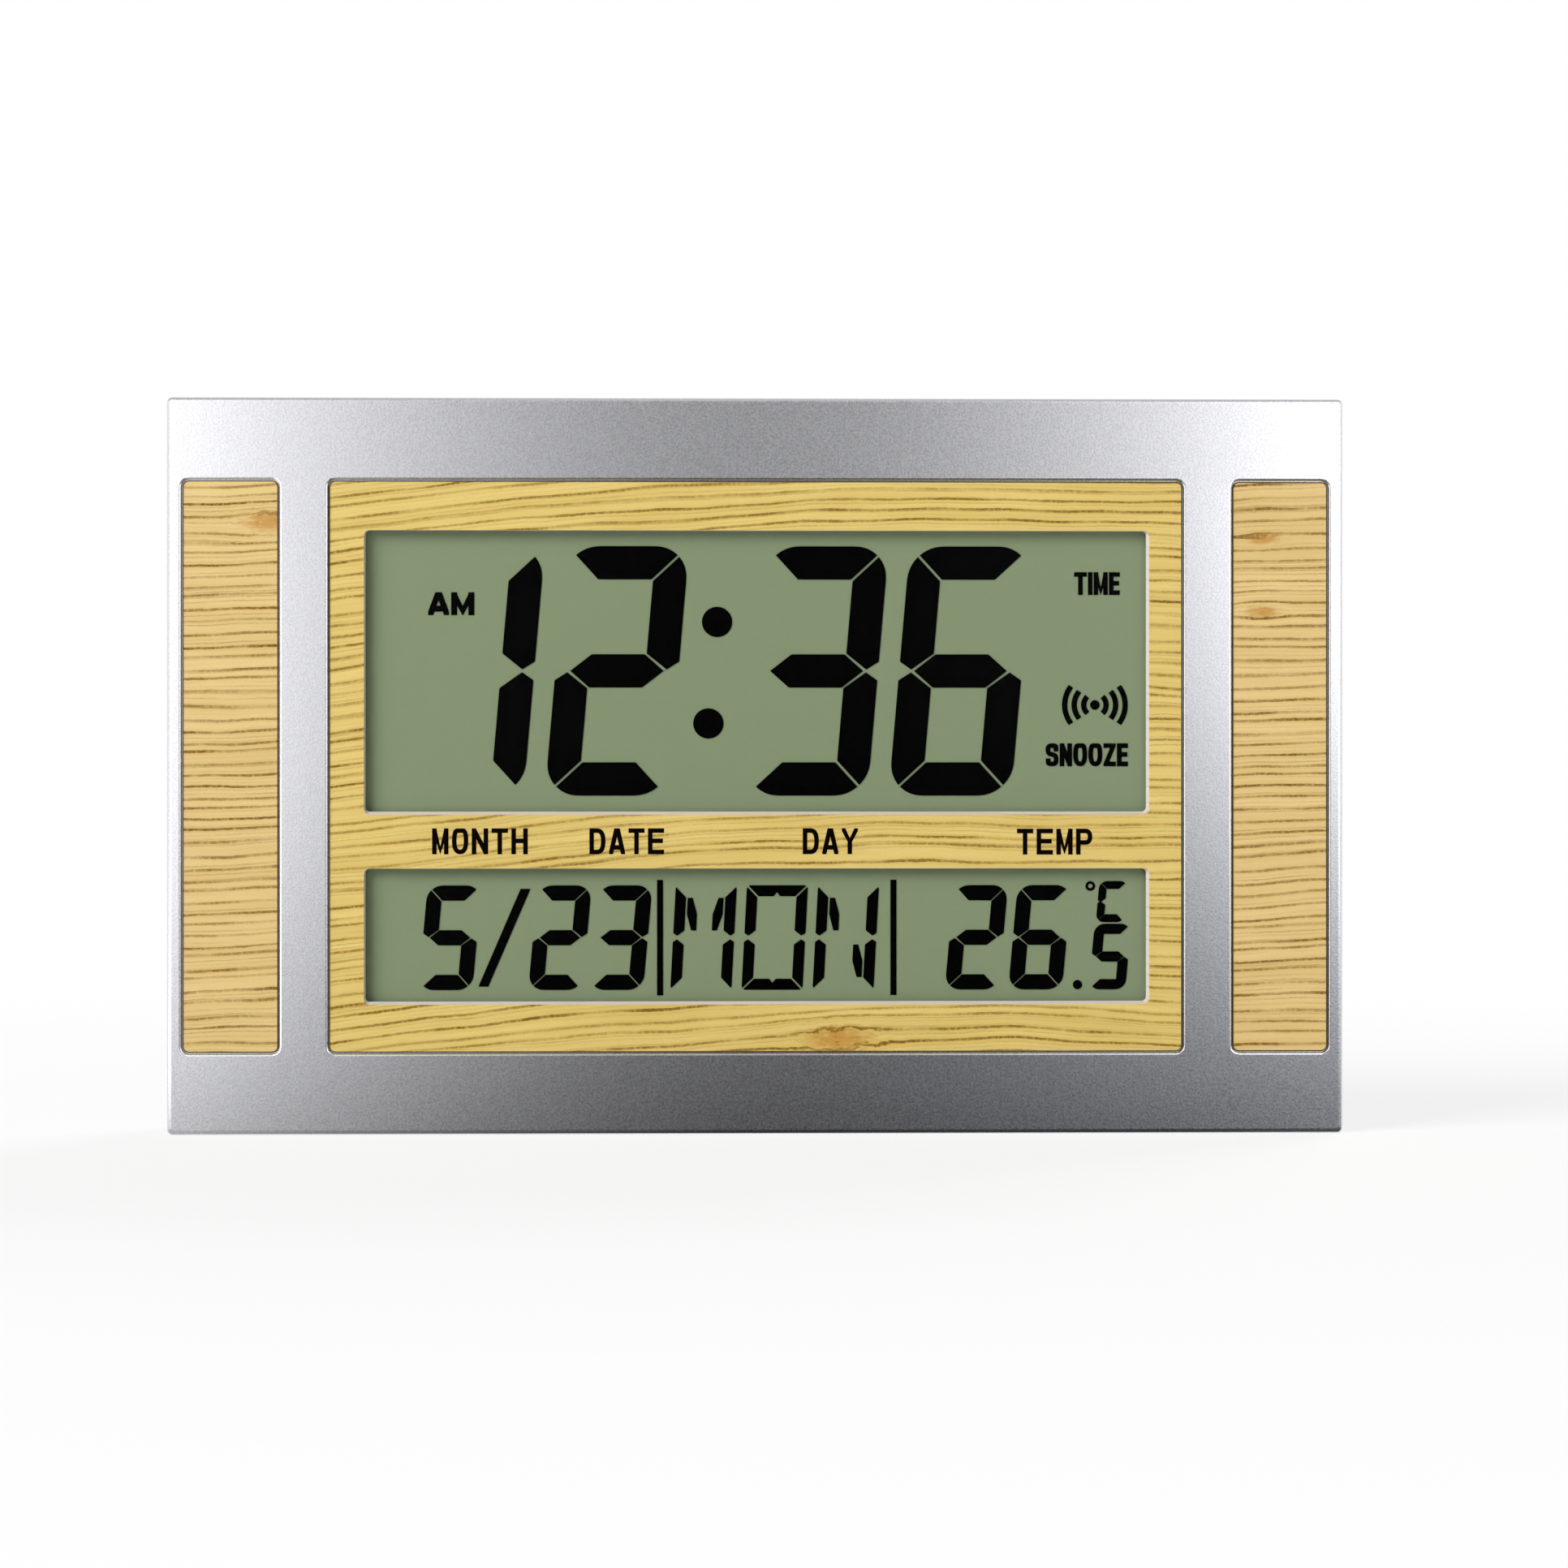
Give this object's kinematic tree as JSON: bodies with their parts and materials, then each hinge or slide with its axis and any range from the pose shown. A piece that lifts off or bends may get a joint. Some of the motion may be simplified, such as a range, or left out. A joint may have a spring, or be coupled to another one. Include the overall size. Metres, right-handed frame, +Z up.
{
  "type": "digital clock",
  "caption": "Wide digital clock with a silver frame, wood-print panels, LCD windows for time and calendar, rear buttons, a battery door and a fold-out stand, for a table or a wall.",
  "frame": {"origin": "middle of the base, on the surface that the clock stands on, halfway through its depth", "axes": "+X to the right as the clock is read, +Y from the front face to the back, +Z up"},
  "size_m": [0.259, 0.028, 0.162],
  "materials": {
    "silver_paint": "metallic silver paint on moulded plastic, fine sparkle",
    "wood_print": "wood-grain print, satin",
    "clear_plate": "clear, polished",
    "display_glass": "reflective LCD, olive green with black segments",
    "white_plastic": "moulded",
    "connector_rubber": "layered conductive rubber",
    "board": "green solder mask",
    "black_resin": "cast resin",
    "plated_steel": "nickel plated",
    "back_plastic": "moulded, fine spark texture",
    "cell_sleeve": "plain plastic sleeve",
    "button_plastic": "moulded, satin",
    "keypad_rubber": "moulded silicone",
    "buzzer_brass": "rolled sheet",
    "red_sleeve": "extruded",
    "black_sleeve": "extruded"
  },
  "bodies": {
    "case": {"front_frame": "silver_paint", "left_panel": "wood_print", "right_panel": "wood_print", "centre_panel": "wood_print", "time_window": "clear_plate", "calendar_window": "clear_plate", "time_lcd": "display_glass", "calendar_lcd": "display_glass", "display_holder": "white_plastic", "time_connector": "connector_rubber", "calendar_connector": "connector_rubber", "main_board": "board", "chip_cover": "black_resin", "quartz_crystal": "plated_steel", "capacitor": "black_resin", "temperature_sensor": "black_resin", "back_cover": "back_plastic", "battery_lower": "cell_sleeve", "battery_upper": "cell_sleeve", "battery_link_plate": "plated_steel", "battery_positive_plate": "plated_steel", "battery_negative_plate": "plated_steel", "battery_spring_lower": "plated_steel", "battery_spring_upper": "plated_steel", "rubber_keypad": "keypad_rubber", "key_board": "board", "key_ribbon": "white_plastic", "buzzer": "buzzer_brass", "buzzer_lead_red": "red_sleeve", "buzzer_lead_black": "black_sleeve", "battery_lead_red": "red_sleeve", "battery_lead_black": "black_sleeve", "case_screw_1": "plated_steel", "case_screw_2": "plated_steel", "case_screw_3": "plated_steel", "case_screw_4": "plated_steel", "case_screw_5": "plated_steel", "case_screw_6": "plated_steel", "holder_screw_1": "plated_steel", "holder_screw_2": "plated_steel", "holder_screw_3": "plated_steel", "holder_screw_4": "plated_steel", "board_screw_1": "plated_steel", "board_screw_2": "plated_steel", "board_screw_3": "plated_steel", "board_screw_4": "plated_steel", "key_board_screw_1": "plated_steel", "key_board_screw_2": "plated_steel"},
    "stand": {"stand": "back_plastic"},
    "battery_door": {"battery_door": "back_plastic"},
    "mode_button": {"mode_button": "button_plastic"},
    "set_button": {"set_button": "button_plastic"},
    "up_button": {"up_button": "button_plastic"},
    "down_button": {"down_button": "button_plastic"},
    "alarm_button": {"alarm_button": "button_plastic"},
    "snooze_button": {"snooze_button": "button_plastic"}
  },
  "joints": [
    {"name": "stand_hinge", "type": "hinge", "parent": "case", "child": "stand", "pos_m": [0, 0.0112, 0.082], "axis": [1, 0, 0], "range_deg": [0, 32]},
    {"name": "battery_door_hinge", "type": "hinge", "parent": "case", "child": "battery_door", "pos_m": [0.08, 0.0139, 0.1277], "axis": [1, 0, 0], "range_deg": [0, 75]},
    {"name": "mode_press", "type": "slide", "parent": "case", "child": "mode_button", "axis": [0, -1, 0], "range_m": [0, 0.001], "stiffness_N_per_m": 300},
    {"name": "set_press", "type": "slide", "parent": "case", "child": "set_button", "axis": [0, -1, 0], "range_m": [0, 0.001], "stiffness_N_per_m": 300},
    {"name": "up_press", "type": "slide", "parent": "case", "child": "up_button", "axis": [0, -1, 0], "range_m": [0, 0.001], "stiffness_N_per_m": 300},
    {"name": "down_press", "type": "slide", "parent": "case", "child": "down_button", "axis": [0, -1, 0], "range_m": [0, 0.001], "stiffness_N_per_m": 300},
    {"name": "alarm_press", "type": "slide", "parent": "case", "child": "alarm_button", "axis": [0, -1, 0], "range_m": [0, 0.001], "stiffness_N_per_m": 300},
    {"name": "snooze_press", "type": "slide", "parent": "case", "child": "snooze_button", "axis": [0, -1, 0], "range_m": [0, 0.001], "stiffness_N_per_m": 300}
  ]
}
